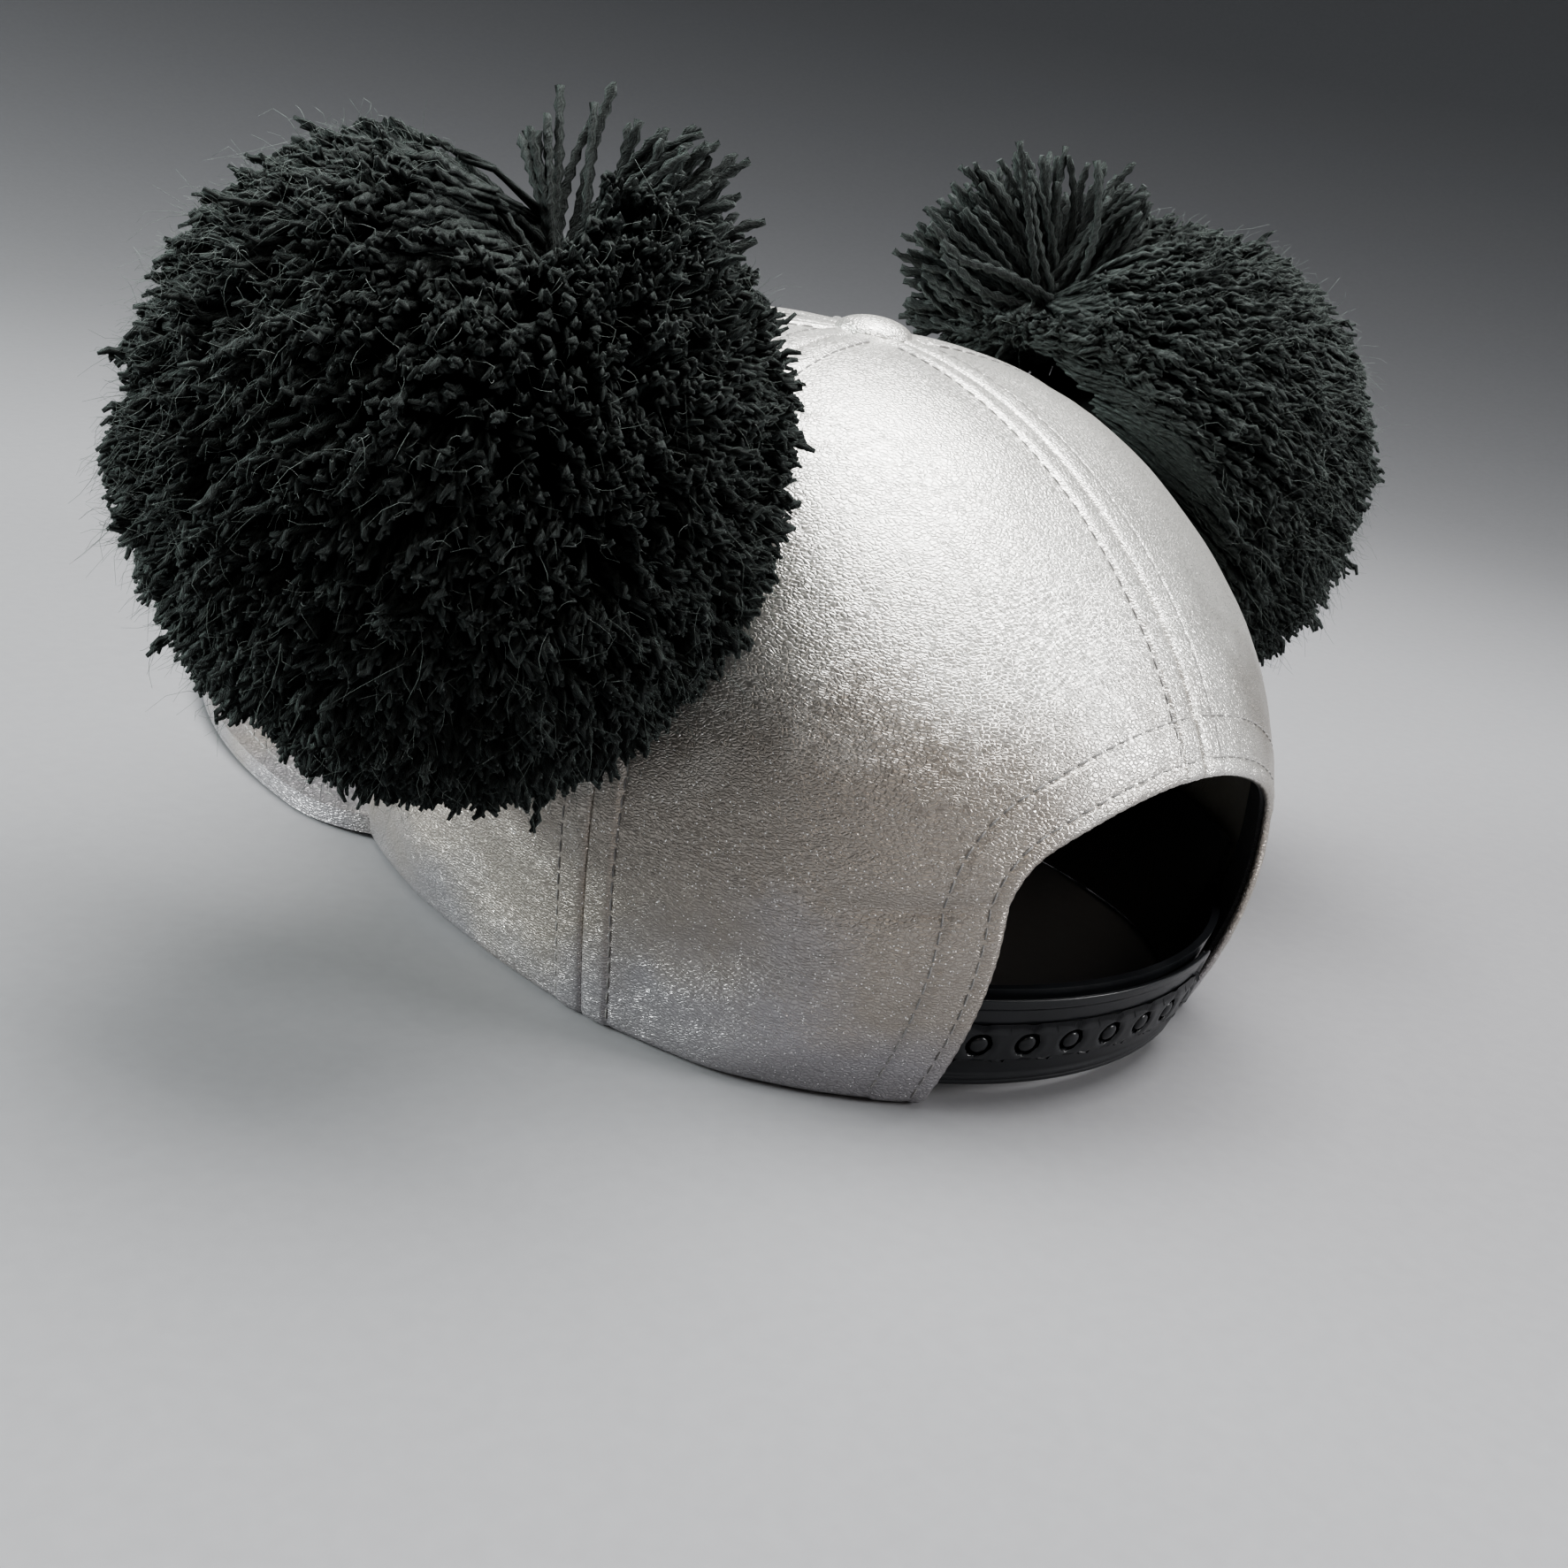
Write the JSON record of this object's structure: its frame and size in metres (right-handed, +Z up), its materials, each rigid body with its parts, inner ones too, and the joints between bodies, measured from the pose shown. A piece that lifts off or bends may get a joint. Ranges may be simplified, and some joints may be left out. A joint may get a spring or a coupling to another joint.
{
  "type": "pom-pom snapback cap",
  "caption": "Six-panel snapback cap in silver imitation leather with a flat visor, a snap strap across the back opening and a large dark yarn pom-pom on each side.",
  "frame": {"origin": "in the plane of the crown's rim, on the cap's middle plane, below the crown's widest cross-section (the head opening's reference point)", "axes": "+Z up from the rim to the crown's top, the visor points to -Y, the back opening is at +Y, the wearer's left is +X"},
  "size_m": [0.2962, 0.2727, 0.1469],
  "materials": {
    "silver_leather": "metallic foil on imitation leather, fine pebble grain",
    "buckram": "stiff open mesh",
    "seam_tape": "woven twill tape",
    "sweatband_fabric": "cotton twill",
    "strap_plastic": "satin moulded plastic",
    "button_metal": "tinned",
    "board": "flat plastic board",
    "yarn": "two-ply acrylic yarn, slightly fuzzy",
    "tie_cord": "twisted cord"
  },
  "bodies": {
    "crown": {"front_left_panel": "silver_leather", "front_right_panel": "silver_leather", "left_side_panel": "silver_leather", "right_side_panel": "silver_leather", "back_left_panel": "silver_leather", "back_right_panel": "silver_leather", "front_left_buckram": "buckram", "front_right_buckram": "buckram", "back_seam_tape": "seam_tape", "back_left_seam_tape": "seam_tape", "back_right_seam_tape": "seam_tape", "front_left_seam_tape": "seam_tape", "front_right_seam_tape": "seam_tape", "front_seam_tape": "seam_tape", "opening_facing": "seam_tape", "sweatband": "sweatband_fabric", "hole_strap_tab": "strap_plastic", "peg_strap": "strap_plastic", "button_cover": "silver_leather", "button_shell": "button_metal", "button_prong": "button_metal", "visor_under_cover": "silver_leather", "visor_top_cover": "silver_leather", "visor_board": "board"},
    "strap_end": {"hole_strap": "strap_plastic"},
    "left_tie": {"left_pompom_shank": "tie_cord", "left_anchor_knot": "tie_cord"},
    "left_pompom": {"left_pompom_yarn": "yarn", "left_pompom_tie": "tie_cord"},
    "right_tie": {"right_pompom_shank": "tie_cord", "right_anchor_knot": "tie_cord"},
    "right_pompom": {"right_pompom_yarn": "yarn", "right_pompom_tie": "tie_cord"}
  },
  "joints": [
    {"name": "strap_unsnap", "type": "hinge", "parent": "crown", "child": "strap_end", "pos_m": [0.03644, 0.07268, 0.0032], "axis": [-0.127, -0.2053, -0.9704], "range_deg": [0, 50], "stiffness_Nm_per_rad": 0.02},
    {"name": "left_pompom_bob", "type": "hinge", "parent": "crown", "child": "left_tie", "pos_m": [0.07028, -0.00434, 0.0802], "axis": [0, 1, 0], "range_deg": [-5, 5], "stiffness_Nm_per_rad": 8},
    {"name": "left_pompom_twist", "type": "hinge", "parent": "left_tie", "child": "left_pompom", "pos_m": [0.07028, -0.00434, 0.0802], "axis": [0.8968, -0.0057, 0.4424], "range_deg": [-25, 25], "stiffness_Nm_per_rad": 0.3},
    {"name": "right_pompom_bob", "type": "hinge", "parent": "crown", "child": "right_tie", "pos_m": [-0.07028, -0.00434, 0.0802], "axis": [0, -1, 0], "range_deg": [-5, 5], "stiffness_Nm_per_rad": 8},
    {"name": "right_pompom_twist", "type": "hinge", "parent": "right_tie", "child": "right_pompom", "pos_m": [-0.07028, -0.00434, 0.0802], "axis": [-0.8968, -0.0057, 0.4424], "range_deg": [-25, 25], "stiffness_Nm_per_rad": 0.3}
  ]
}
